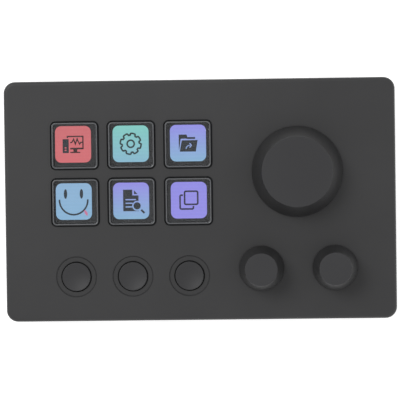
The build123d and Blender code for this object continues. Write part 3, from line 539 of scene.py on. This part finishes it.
for name in KNOBS:
    low, high, middle = extent(name)
    base_radius = (high.x - low.x) / 2
    top_radius = KNOB_TOP_RADIUS[name]
    hollow = KNOB_HOLLOW_RADIUS[name]
    hollow_top = low.z + KNOB_HOLLOW_DEPTH[name]
    lean = math.degrees(math.atan2(base_radius - top_radius, high.z - low.z))
    slope = math.tan(math.radians(lean))
    edge_in = KNOB_EDGE_ROUND * (1 / math.cos(math.radians(lean)) - slope)
    edge = corner_round(top_radius - edge_in, high.z - KNOB_EDGE_ROUND, KNOB_EDGE_ROUND, lean, 90, 8)
    skirt_in = KNOB_SKIRT_ROUND * (1 / math.cos(math.radians(lean)) + slope)
    skirt = corner_round(base_radius - skirt_in, low.z + KNOB_SKIRT_ROUND, KNOB_SKIRT_ROUND, -90, lean, 4)
    profile = [(0, high.z), (edge[-1][0] * KNOB_TOP_RING, high.z)] + edge[::-1] + skirt[::-1]
    profile += [(hollow, low.z), (hollow, hollow_top)]
    if hollow_top > low.z + KNOB_HUB_BOTTOM:
        profile += [(KNOB_HUB_RADIUS, hollow_top), (KNOB_HUB_RADIUS, low.z + KNOB_HUB_BOTTOM)]
    ceiling = high.z - KNOB_TOP_THICKNESS
    profile += [(bore_shape, low.z + KNOB_HUB_BOTTOM), (bore_shape, ceiling), (0, ceiling)]
    points, faces = turned(middle.x, middle.y, profile, KNOB_SIDES)
    # the flanks take the near-black painted shade; the middle of the top keeps its own colour
    flank_shade_faces = [0 if i // KNOB_SIDES < KNOB_PAINTED_SHADE_FROM else 1 for i in range(len(faces))]
    knob = make_piece(f"{name}_body", points, faces, [knob_abs, knob_flank_painted_shade], 35, flank_shade_faces)
    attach(knob, name.replace("_knob", "_knob_turn"))
    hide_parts(name)

# ---- Dished buttons ----
for number, name in enumerate(BUTTONS, start=1):
    low, high, middle = extent(name)
    flange_top = low.z + BUTTON_FLANGE_HEIGHT
    sphere = (BUTTON_RADIUS ** 2 + BUTTON_DISH_DEPTH ** 2) / (2 * BUTTON_DISH_DEPTH)
    crest = BUTTON_RADIUS - BUTTON_RIM_ROUND
    floor_z = high.z - BUTTON_DISH_DEPTH
    reaches = [crest * i / BUTTON_DISH_STEPS for i in range(1, BUTTON_DISH_STEPS + 1)]
    dish = [(reach, floor_z + sphere - math.sqrt(sphere ** 2 - reach ** 2)) for reach in reaches]
    rim_z = dish[-1][1] - BUTTON_RIM_ROUND + BUTTON_CREST_LIFT
    rim = corner_round(crest, rim_z, BUTTON_RIM_ROUND, 75, 0)
    profile = [(0, floor_z)] + dish[:-1] + rim + [(BUTTON_RADIUS, flange_top), (0, flange_top)]
    points, faces = turned(middle.x, middle.y, profile)
    size = high.x - low.x
    levels = (
        (size - 2 * BUTTON_FLANGE_BEVEL, low.z), (size, low.z + BUTTON_FLANGE_BEVEL),
        (size, flange_top - BUTTON_FLANGE_BEVEL), (size - 2 * BUTTON_FLANGE_BEVEL, flange_top),
    )
    plate = stacked([
        [(px, py, z) for px, py in square_outline(middle.x, middle.y, width, width, BUTTON_FLANGE_CORNER, 3)]
        for width, z in levels
    ])
    faces += [[len(points) + i for i in face] for face in plate[1]]
    points += plate[0]
    button = make_piece(f"{name}_body", points, faces, [button_abs])
    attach(button, f"button_{number}")
    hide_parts(name)

# ---- Key caps: a clear block, its flange, and its foot inside the rubber collar ----
for number, name in enumerate(KEYS, start=1):
    low, high, middle = extent(name)
    flange = high.x - low.x
    flange_z = low.z + CAP_FOOT_HEIGHT
    block_z = flange_z + CAP_FLANGE_HEIGHT
    levels = [
        (CAP_WINDOW, CAP_WINDOW_CORNER, low.z),
        (CAP_FOOT_SIZE - 2 * CAP_FOOT_BEVEL, CAP_FOOT_CORNER - CAP_FOOT_BEVEL, low.z),
        (CAP_FOOT_SIZE, CAP_FOOT_CORNER, low.z + CAP_FOOT_BEVEL), (CAP_FOOT_SIZE, CAP_FOOT_CORNER, flange_z),
        (flange, CAP_FLANGE_CORNER, flange_z), (flange, CAP_FLANGE_CORNER, block_z),
        (CAP_SIZE, CAP_CORNER, block_z), (CAP_SIZE, CAP_CORNER, high.z - CAP_GAP_SHADE_DEPTH),
    ]
    for i in range(CAP_EDGE_STEPS + 1):
        turn = math.radians(90 * i / CAP_EDGE_STEPS)
        inset = CAP_EDGE_ROUND * (1 - math.cos(turn))
        rise = CAP_EDGE_ROUND * math.sin(turn)
        levels.append((CAP_SIZE - 2 * inset, CAP_CORNER - inset, high.z - CAP_EDGE_ROUND + rise))
    inner = CAP_EDGE_ROUND + CAP_RIM_SLOPE
    levels.append((CAP_SIZE - 2 * inner, CAP_CORNER - inner, high.z - CAP_RIM_FALL))
    points, faces = stacked([
        [(px, py, z) for px, py in square_outline(middle.x, middle.y, width, width, corner, 8)]
        for width, corner, z in levels
    ])
    per_level = len(points) // len(levels)
    # the sides take the lacquer's painted glow, then black painted gap shade, then the painted edge highlight
    painted = [CAP_FINISH_RUNS[i // per_level] for i in range(len(faces) - 2)] + [0, 0]
    finishes = [clear_pmma, cap_lacquer_painted_glow, black_pc_and_gap_shade, cap_edge_painted_highlight]
    cap = make_piece(f"{name}_body", points, faces, finishes, CAP_SHARP, painted)
    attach(cap, f"key_{number}")
    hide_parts(name)


# ---- Rubber mat: a sheet with a window under each key, and a collar that the key squashes ----
def perforated(low, high, openings):
    """Points and faces of a flat sheet with square openings, each (x, y, width): the cells of a
    grid through every edge, without those in an opening."""
    xs, ys = (sorted({
        round(v, 4) for o in openings for v in (low[k], high[k], o[k] - o[2] / 2, o[k] + o[2] / 2)
    }) for k in (0, 1))
    points, faces = [], []

    def solid(i, j):
        if not (0 <= i < len(xs) - 1 and 0 <= j < len(ys) - 1):
            return False
        x, y = (xs[i] + xs[i + 1]) / 2, (ys[j] + ys[j + 1]) / 2
        return all(max(abs(x - o[0]), abs(y - o[1])) > o[2] / 2 for o in openings)

    def quad(corners):
        faces.append([len(points) + n for n in range(4)])
        points.extend(corners)

    for i, (x0, x1) in enumerate(zip(xs, xs[1:])):
        for j, (y0, y1) in enumerate(zip(ys, ys[1:])):
            if not solid(i, j):
                continue
            around = [(x0, y0), (x1, y0), (x1, y1), (x0, y1)]
            for z in (low[2], high[2]):
                quad([(x, y, z) for x, y in around])
            beside = ((0, -1), (1, 0), (0, 1), (-1, 0))
            for a, b, (di, dj) in zip(around, around[1:] + around[:1], beside):
                if not solid(i + di, j + dj):
                    quad([(*a, low[2]), (*b, low[2]), (*b, high[2]), (*a, high[2])])
    return points, faces


low, high, middle = extent("key_mat")
mat_top = low.z + MAT_THICKNESS
openings = [(*extent(name)[2].xy, MAT_WINDOW) for name in KEYS]
openings += [
    (x, y, PEG_HOLE)
    for x in (low.x + PEG_INSET, high.x - PEG_INSET) for y in (low.y + PEG_INSET, high.y - PEG_INSET)
]
sheet = make_piece("key_mat_sheet", *perforated(low, (high.x, high.y, mat_top), openings), [silicone])
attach(sheet, "chassis")
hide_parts("key_mat")
for number, name in enumerate(KEYS, start=1):
    x, y = extent(name)[2].xy
    root = mat_top - COLLAR_SINK
    shoulder = high.z - COLLAR_ROUND
    profile = [(COLLAR_HALF_OUTSIDE + COLLAR_FLARE_OUTSIDE, root)]
    profile += [(COLLAR_HALF_OUTSIDE, mat_top + COLLAR_ROUND)]
    profile += corner_round(COLLAR_HALF_OUTSIDE - COLLAR_ROUND, shoulder, COLLAR_ROUND, 0, 90, 4)
    profile += corner_round(COLLAR_HALF_INSIDE + COLLAR_ROUND, shoulder, COLLAR_ROUND, 90, 180, 4)
    profile += [(COLLAR_HALF_INSIDE, mat_top + COLLAR_ROUND)]
    profile += [(COLLAR_HALF_INSIDE - COLLAR_FLARE_INSIDE, root)]
    loops = [
        [(px, py, z) for px, py in square_outline(x, y, 2 * half, 2 * half, half - COLLAR_CORNER_FROM)]
        for half, z in profile
    ]
    points, faces = stacked(loops + loops[:1])
    collar = make_piece(f"key_collar_{number}", points, faces[:-2], [silicone])
    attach(collar, "chassis")
    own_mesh(collar)
    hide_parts("key_mat")


# ---- Pictures on the display, drawn in millimetres from the middle of each ----
def stroke(points, width=STROKE, closed=False):
    """Four-cornered pieces of a line of even width through the points."""
    count = len(points)
    left, right = [], []
    for i, (x, y) in enumerate(points):
        ahead = Vector(points[(i + 1) % count]) - Vector((x, y))
        behind = Vector((x, y)) - Vector(points[i - 1])
        if not closed and i == 0:
            behind = ahead
        if not closed and i == count - 1:
            ahead = behind
        ahead.normalize()
        behind.normalize()
        along = (ahead + behind).normalized()
        reach = width / 2 / max(0.35, along.dot(ahead))
        side = Vector((-along.y, along.x)) * reach
        left.append((x + side.x, y + side.y))
        right.append((x - side.x, y - side.y))
    last = count if closed else count - 1
    return [[left[i], right[i], right[(i + 1) % count], left[(i + 1) % count]] for i in range(last)]


def disc(x, y, across, up, count=28):
    """An oval as one many-sided piece."""
    return [[(x + across * math.cos(t), y + up * math.sin(t))
             for t in (2 * math.pi * i / count for i in range(count))]]


def arc(x, y, across, up, start, end, count=24):
    """Points along part of an oval, from start to end degrees."""
    turns = [math.radians(start + (end - start) * i / count) for i in range(count + 1)]
    return [(x + across * math.cos(t), y + up * math.sin(t)) for t in turns]


LIT, INK, CLOSED, PINK = range(4)     # finishes of a picture


def draw_computer():
    """A tower with two lights, beside a screen that shows a pulse."""
    tower = [square_outline(-2.47, -0.57, 2.06, 4.65, 0.15)]
    screen = stroke([(-1.87, 2.1), (-1.87, 2.64), (3.33, 2.64), (3.33, -1.35)], 0.44)
    screen += [square_outline(1.28, -1.42, 4.5, 0.56, 0.1), square_outline(0.74, -2.1, 1.3, 1.2, 0.1)]
    screen += [square_outline(0.72, -2.7, 3.36, 0.4, 0.1)]
    pulse = [(-0.96, 0.58), (-0.42, 0.63), (0.21, 1.7), (0.78, 0.1), (1.38, 1.75), (2.19, 0.05)]
    pulse += [(2.6, 0.63), (3.2, 0.63)]
    lights = [square_outline(-2.5, -1.16, 0.62, 0.38, 0.1), square_outline(-2.5, -1.98, 0.62, 0.38, 0.1)]
    return [(INK, tower), (CLOSED, screen + stroke(pulse, 0.42)), (LIT, lights)]


def draw_gear():
    """The outline of a cog with wide teeth, and its hole."""
    teeth = []
    tooth = 360 / COG_TEETH
    for i in range(COG_STEPS):
        turn = 360 / COG_STEPS * i
        from_notch = (turn - COG_NOTCH_FIRST + tooth / 2) % tooth - tooth / 2
        reach = COG_RADIUS - COG_NOTCH_DEPTH / (1 + (from_notch / COG_NOTCH_HALF) ** COG_NOTCH_FLANK)
        teeth.append((reach * math.cos(math.radians(turn)), reach * math.sin(math.radians(turn))))
    hole = arc(0, 0, COG_HOLE, COG_HOLE, 0, 350, 35)
    return [(CLOSED, stroke(teeth, STROKE, True) + stroke(hole, STROKE, True))]


def draw_folder():
    """An open folder with a bent arrow on its front."""
    back = [[(-3.08, 2.85), (-0.5, 2.85), (-0.2, 1.98), (-0.2, 1.48), (-3.08, 1.48)]]
    back += [[(-0.3, 1.98), (2.4, 1.98), (2.4, 1.36), (-0.3, 1.36)]]
    back += [[(-3.08, 1.5), (-2.4, 1.5), (-3.0, -2.2), (-3.08, -2.2)]]
    rim = stroke([(-2.72, -2.82), (-2.12, 1.15), (2.9, 1.15)], 0.28)
    front = [(-2.0, 0.92), (3.12, 0.98), (3.2, 0.88), (2.6, -2.75), (2.45, -2.85), (-2.7, -2.85)]
    front += [(-2.78, -2.75), (-2.1, 0.8)]
    arrow = stroke(arc(0.6, -1.95, 1.25, 1.2, 178, 90, 12), 0.3)
    arrow += stroke([(0.5, 0.0), (1.12, -0.75), (0.5, -1.5)], 0.34)
    return [(INK, back), (LIT, rim), (INK, [front]), (LIT, arrow)]


def draw_smile():
    """Two tall eyes over a wide smile, with the tip of a tongue."""
    eyes = disc(-2.77, 2.54, 0.56, 1.6) + disc(2.57, 2.56, 0.56, 1.6)
    mouth = stroke(arc(-0.08, 0.5, 4.74, 4.9, 178, 362, 48), 0.56)
    tongue = [(3.35, -2.95), (4.0, -3.05), (4.55, -3.85), (4.6, -4.7), (4.25, -4.75), (3.65, -4.15)]
    return [(CLOSED, eyes + mouth), (PINK, [tongue])]


def draw_search():
    """A page of writing with a magnifier over its corner."""
    page = [[(-2.68, 3.74), (0.42, 3.74), (0.42, 1.8), (2.47, 1.8), (2.47, -3.46), (-2.68, -3.46)]]
    fold = [[(0.98, 3.5), (0.98, 2.26), (2.16, 2.26)]]
    writing = [square_outline(-0.14, 0.4, 3.52, 0.4, 0.15), square_outline(-0.7, -0.8, 2.4, 0.4, 0.15)]
    writing += [square_outline(-0.75, -2.02, 2.3, 0.4, 0.15)]
    lens = disc(1.98, -1.69, 1.2, 1.2) + stroke([(3.32, -3.03), (4.42, -4.13)], 0.66)
    return [(INK, page + fold), (LIT, writing + disc(1.98, -1.69, 1.66, 1.66)), (INK, lens)]


def draw_copy():
    """Two square sheets, one behind the other."""
    sheet = stroke(square_outline(0.78, 0.78, 4.38, 4.38, 0.45), STROKE, True)
    behind = [(-1.95, 1.7)] + arc(-2.5, 1.26, 0.44, 0.44, 90, 180, 6)
    behind += arc(-2.5, -2.5, 0.44, 0.44, 180, 270, 6)
    behind += arc(1.06, -2.5, 0.44, 0.44, 270, 360, 6) + [(1.5, -1.95)]
    return [(CLOSED, sheet + stroke(behind))]


def plates(polygons, x, y, z, finish_number, body):
    """Add thin plates with these outlines, their tops at z, to a body of points and faces."""
    points, faces, numbers = body
    for polygon in polygons:
        levels = (z - PICTURE_THICKNESS, z)
        part = stacked([[(x + px, y + py, level) for px, py in polygon] for level in levels])
        faces += [[len(points) + i for i in face] for face in part[1]]
        points += part[0]
        numbers += [finish_number] * len(part[1])


# Hue of each picture, its colour at the top and bottom, and its sign.
PICTURES = [
    ("salmon", "#d36d72", "#d86c72", draw_computer),
    ("sea-green", "#85d0c7", "#8abcd3", draw_gear),
    ("violet", "#9792eb", "#8bb7d9", draw_folder),
    ("sky-blue", "#90b6d9", "#8bb6d8", draw_smile),
    ("lilac", "#9891ea", "#8ab6d6", draw_search),
    ("purple", "#958fea", "#9690ea", draw_copy),
]
glass_top = extent("display_glass")[1].z
for number, (hue, top, bottom, draw) in enumerate(PICTURES, start=1):
    middle = extent(f"key_cap_{number}")[2]
    x, y = middle.x + PICTURE_SHIFTS[number - 1][0], middle.y + PICTURE_SHIFTS[number - 1][1]
    ends = (y - PICTURE_HEIGHT / 2, y + PICTURE_HEIGHT / 2)
    lit = make_lit(f"lit {hue} pixels", top, bottom, *ends, 1.0)
    closed = make_lit(f"closed {hue} pixels", top, bottom, *ends, CLOSED_SHARE)
    body = ([], [], [])
    z = glass_top + PICTURE_THICKNESS
    tile = square_outline(0, 0, PICTURE_WIDTH, PICTURE_HEIGHT, PICTURE_CORNER)
    plates([tile], x, y, z, LIT, body)
    for layer, (kind, outlines) in enumerate(draw(), start=1):
        plates(outlines, x, y, z + layer * PICTURE_LIFT, kind, body)
    points, faces, numbers = body
    finishes = [lit, ink, closed, pink]
    picture = make_piece(f"picture_{number}", points, faces, finishes, face_finishes=numbers)
    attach(picture, "chassis")


# ---- Geometry Nodes: what repeats ----
def start_tree(name, inputs):
    """A geometry tree with named inputs. Returns the tree, and the sockets that give them."""
    tree = bpy.data.node_groups.new(name, "GeometryNodeTree")
    tree.interface.new_socket("Geometry", in_out="INPUT", socket_type="NodeSocketGeometry")
    tree.interface.new_socket("Geometry", in_out="OUTPUT", socket_type="NodeSocketGeometry")
    for label, kind in inputs.items():
        tree.interface.new_socket(label, in_out="INPUT", socket_type=kind)
    return tree, put(tree, "NodeGroupInput").outputs


def grow(name, tree, values, sharp=35.0):
    """Run a geometry tree on an empty mesh and keep its result as a plain piece."""
    seed = bpy.data.objects.new(f"{name}_seed", bpy.data.meshes.new(f"{name}_seed"))
    bpy.context.scene.collection.objects.link(seed)
    modifier = seed.modifiers.new("grow", "NODES")
    modifier.node_group = tree
    for socket in tree.interface.items_tree:
        if socket.in_out == "INPUT" and socket.name in values:
            modifier[socket.identifier] = values[socket.name]
    graph = bpy.context.evaluated_depsgraph_get()
    graph.update()
    mesh = bpy.data.meshes.new_from_object(seed.evaluated_get(graph))
    seed.modifiers.remove(modifier)
    bpy.data.objects.remove(seed)
    finish_mesh(mesh, sharp)
    made = bpy.data.objects.new(name, mesh)
    bpy.context.scene.collection.objects.link(made)
    return made


def end_tree(tree, geometry, finish):
    """Realize the copies, give them their finish and hand them on."""
    real = put(tree, "GeometryNodeRealizeInstances", inputs={0: geometry}).outputs[0]
    dressed = put(tree, "GeometryNodeSetMaterial", inputs={"Geometry": real, "Material": finish})
    put(tree, "NodeGroupOutput", inputs={0: dressed.outputs[0]})


def cross_shape(angle):
    """Radius of a four-armed driver recess at an angle."""
    turn = abs((angle + math.pi / 4) % (math.pi / 2) - math.pi / 4)
    along = SCREW_RECESS / math.cos(turn)
    return min(along, SCREW_RECESS_SLOT / math.sin(turn)) if turn > 0.01 else along


def make_screw_pattern():
    """One cover screw, head down at the origin: low head, driver recess and threaded shank."""
    recess_z = -SCREW_HEAD_HEIGHT + SCREW_RECESS_DEPTH
    profile = [
        (0, recess_z), (lambda angle: SCREW_RECESS_TAPER * cross_shape(angle), recess_z),
        (cross_shape, -SCREW_HEAD_HEIGHT),
    ]
    profile += corner_round(
        SCREW_HEAD - SCREW_HEAD_ROUND, -SCREW_HEAD_HEIGHT + SCREW_HEAD_ROUND, SCREW_HEAD_ROUND, -90, 0, 4,
    )
    profile += [(SCREW_HEAD, 0), (SCREW_SHANK, 0)]
    for i in range(THREAD_TURNS):
        z = THREAD_START + THREAD_PITCH * i
        profile += [(SCREW_SHANK, z), (SCREW_SHANK - THREAD_DEPTH, z + THREAD_FLANK)]
    profile += [(SCREW_SHANK - SCREW_POINT_STEP, SCREW_POINT_FROM)]
    profile += [(SCREW_SHANK - SCREW_POINT_DEPTH, screw_length), (0, screw_length)]
    points, faces = turned(0, 0, profile, 48)
    return make_piece("screw_pattern", points, faces, [screw_steel])


screw_low, screw_high, _ = extent("cover_screws")
screw_length = screw_high.z - screw_low.z - SCREW_HEAD_HEIGHT
pattern = make_screw_pattern()
tree, given = start_tree("screws in the corners", {
    "Pattern": "NodeSocketObject", "Spread Across": "NodeSocketFloat", "Spread Deep": "NodeSocketFloat",
    "Seat Height": "NodeSocketFloat",
})
corners = put(tree, "GeometryNodeMeshGrid", inputs={
    "Size X": given["Spread Across"], "Size Y": given["Spread Deep"], "Vertices X": 2, "Vertices Y": 2,
}).outputs["Mesh"]
lift = put(tree, "ShaderNodeCombineXYZ", inputs={"Z": given["Seat Height"]}).outputs[0]
lifted = put(tree, "GeometryNodeTransform", inputs={"Geometry": corners, "Translation": lift}).outputs[0]
screw = put(tree, "GeometryNodeObjectInfo", inputs={"Object": given["Pattern"]}).outputs["Geometry"]
copies = put(tree, "GeometryNodeInstanceOnPoints", inputs={"Points": lifted, "Instance": screw}).outputs[0]
end_tree(tree, copies, screw_steel)
screws = grow("cover_screw_set", tree, {
    "Pattern": pattern,
    "Spread Across": (screw_high.x - screw_low.x - 2 * SCREW_HEAD) * MM,
    "Spread Deep": (screw_high.y - screw_low.y - 2 * SCREW_HEAD) * MM,
    "Seat Height": (screw_low.z + SCREW_HEAD_HEIGHT) * MM,
})
bpy.data.objects.remove(pattern)
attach(screws, "chassis")
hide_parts("cover_screws")

row_start = Vector((
    -(CONTACTS - 1) / 2 * CONTACT_PITCH,
    extent("usb_c_tongue")[1].y - CONTACT_SETBACK - CONTACT_LENGTH / 2,
    extent("usb_c_shell")[2].z,
))
tree, given = start_tree("receptacle contacts", {
    "Count": "NodeSocketInt", "Pitch": "NodeSocketFloat", "Contact Width": "NodeSocketFloat",
    "Contact Length": "NodeSocketFloat", "Contact Thickness": "NodeSocketFloat",
    "Tongue Thickness": "NodeSocketFloat", "Row Start": "NodeSocketVector",
})
size = put(tree, "ShaderNodeCombineXYZ", inputs={
    "X": given["Contact Width"], "Y": given["Contact Length"], "Z": given["Contact Thickness"],
}).outputs[0]
contact = put(tree, "GeometryNodeMeshCube", inputs={"Size": size}).outputs["Mesh"]
step = put(tree, "ShaderNodeCombineXYZ", inputs={"X": given["Pitch"]}).outputs[0]
row = put(tree, "GeometryNodeMeshLine", inputs={"Count": given["Count"], "Offset": step}).outputs[0]
both = put(tree, "GeometryNodeJoinGeometry")
for half in (0.5, -0.5):
    offset = {0: given["Tongue Thickness"], 1: half}
    up = put(tree, "ShaderNodeMath", {"operation": "MULTIPLY"}, offset).outputs[0]
    rise = put(tree, "ShaderNodeCombineXYZ", inputs={"Z": up}).outputs[0]
    at = put(tree, "ShaderNodeVectorMath", {"operation": "ADD"}, {0: given["Row Start"], 1: rise}).outputs[0]
    face_row = put(tree, "GeometryNodeTransform", inputs={"Geometry": row, "Translation": at}).outputs[0]
    tree.links.new(face_row, both.inputs[0])
spread = {"Points": both.outputs[0], "Instance": contact}
copies = put(tree, "GeometryNodeInstanceOnPoints", inputs=spread).outputs[0]
end_tree(tree, copies, gold)
contacts = grow("receptacle_contacts", tree, {
    "Count": CONTACTS, "Pitch": CONTACT_PITCH * MM, "Contact Width": CONTACT_WIDTH * MM,
    "Contact Length": CONTACT_LENGTH * MM, "Contact Thickness": CONTACT_THICKNESS * MM,
    "Tongue Thickness": TONGUE_THICKNESS * MM, "Row Start": row_start * MM,
}, 20)
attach(contacts, "chassis")

# ---- Floor, light and camera ----
# White studio board: its glow is only for the camera, in reflections and through clear parts,
# so it lights nothing and keeps the shadow.
floor_material = bpy.data.materials.new("white studio board")
floor_material.use_nodes = True
floor_tree = floor_material.node_tree
shader = next(n for n in floor_tree.nodes if n.type == "BSDF_PRINCIPLED")
shader.inputs["Base Color"].default_value = (0.8, 0.8, 0.8, 1)
shader.inputs["Roughness"].default_value = 0.9
shader.inputs["Specular IOR Level"].default_value = 0.1
shader.inputs["Emission Color"].default_value = (1, 1, 1, 1)
path = put(floor_tree, "ShaderNodeLightPath").outputs
seen = path["Is Camera Ray"]
for ray in ("Is Glossy Ray", "Is Transmission Ray"):
    seen = put(floor_tree, "ShaderNodeMath", {"operation": "MAXIMUM"}, {0: seen, 1: path[ray]}).outputs[0]
glow = put(floor_tree, "ShaderNodeMath", {"operation": "MULTIPLY"}, {0: seen, 1: FLOOR_GLOW})
floor_tree.links.new(glow.outputs[0], shader.inputs["Emission Strength"])
floor_mesh = bpy.data.meshes.new("floor")
floor_corners = [(FLOOR_REACH * x, FLOOR_REACH * y, FLOOR_Z) for x, y in ((-1, -1), (1, -1), (1, 1), (-1, 1))]
floor_mesh.from_pydata(floor_corners, [], [(0, 1, 2, 3)])
floor_mesh.materials.append(floor_material)
floor = bpy.data.objects.new("floor", floor_mesh)
bpy.context.scene.collection.objects.link(floor)

# A pale room: white to the camera, a little darker overhead, and brighter on one side.
world = bpy.data.worlds.new("soft studio")
bpy.context.scene.world = world
world.use_nodes = True
sky_tree = world.node_tree
sky = next(n for n in sky_tree.nodes if n.type == "BACKGROUND")
sky.inputs["Color"].default_value = (1, 1, 1, 1)
toward = put(sky_tree, "ShaderNodeTexCoord").outputs["Generated"]
upward = put(sky_tree, "ShaderNodeSeparateXYZ", inputs={0: toward}).outputs["Z"]
fall = put(sky_tree, "ShaderNodeMapRange", {"interpolation_type": "SMOOTHSTEP"}, {
    "Value": upward, "From Min": ROOM_FALL[0], "From Max": ROOM_FALL[1],
    "To Min": ROOM_LOW, "To Max": ROOM_HIGH,
}).outputs[0]
across = put(sky_tree, "ShaderNodeVectorMath", {"operation": "DOT_PRODUCT"}, {0: toward, 1: ROOM_LEAN})
room = put(sky_tree, "ShaderNodeMath", {"operation": "ADD"}, {0: fall, 1: across.outputs["Value"]}).outputs[0]
to_camera = put(sky_tree, "ShaderNodeLightPath").outputs["Is Camera Ray"]
backdrop = put(sky_tree, "ShaderNodeMix", {"data_type": "FLOAT"}, {0: to_camera, 2: room, 3: 1.0})
sky_tree.links.new(backdrop.outputs[0], sky.inputs["Strength"])

softbox_data = bpy.data.lights.new("softbox", "AREA")
softbox_data.size = SOFTBOX_SIZE
softbox_data.energy = SOFTBOX_POWER
softbox = bpy.data.objects.new("softbox", softbox_data)
softbox.location = SOFTBOX_PLACE
softbox.rotation_euler = (-softbox.location).to_track_quat("-Z", "Y").to_euler()
bpy.context.scene.collection.objects.link(softbox)

camera_data = bpy.data.cameras.new("camera")
camera_data.sensor_width = CAMERA_SENSOR
camera_data.lens = CAMERA_LENS
camera_data.clip_end = CAMERA_REACH
camera = bpy.data.objects.new("camera", camera_data)
camera.location = CAMERA_PLACE
turn = Vector([math.radians(a) for a in CAMERA_TURN])
camera.rotation_mode = "AXIS_ANGLE"
camera.rotation_axis_angle = (turn.length, *turn.normalized())
bpy.context.scene.collection.objects.link(camera)
bpy.context.scene.camera = camera
bpy.context.scene.view_settings.view_transform = "Standard"
